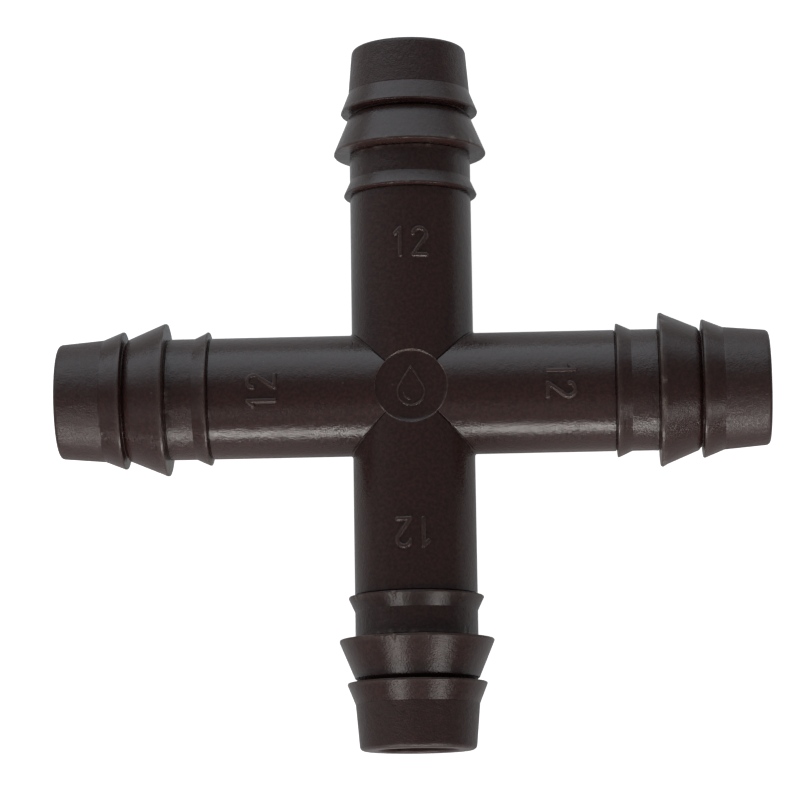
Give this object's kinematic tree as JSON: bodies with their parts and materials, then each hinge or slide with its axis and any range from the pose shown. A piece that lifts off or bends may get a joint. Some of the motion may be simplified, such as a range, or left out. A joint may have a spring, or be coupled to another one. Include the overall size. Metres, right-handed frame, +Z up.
{
  "type": "barbed cross fitting",
  "caption": "Straight-bore equal cross fitting for drip irrigation pipe, with barbed hose tails in one flat cross.",
  "frame": {"origin": "centre of the crossing, where the axes of the four water ways meet", "axes": "+X out of the right tail, +Y out of the far tail, +Z up, out of the face that carries the raised size numerals and the drop mark"},
  "size_m": [0.0584, 0.0584, 0.0126],
  "materials": {
    "brown_plastic": "dark brown moulded polypropylene, fine spark-eroded grain on the arms and tips, smoother barbs"
  },
  "bodies": {
    "root": {"centre_hub": "brown_plastic", "plain_arm_right": "brown_plastic", "plain_arm_far": "brown_plastic", "plain_arm_left": "brown_plastic", "plain_arm_near": "brown_plastic", "barbed_tail_right": "brown_plastic", "barbed_tail_far": "brown_plastic", "barbed_tail_left": "brown_plastic", "barbed_tail_near": "brown_plastic", "size_numerals": "brown_plastic", "drop_mark": "brown_plastic"}
  },
  "joints": []
}
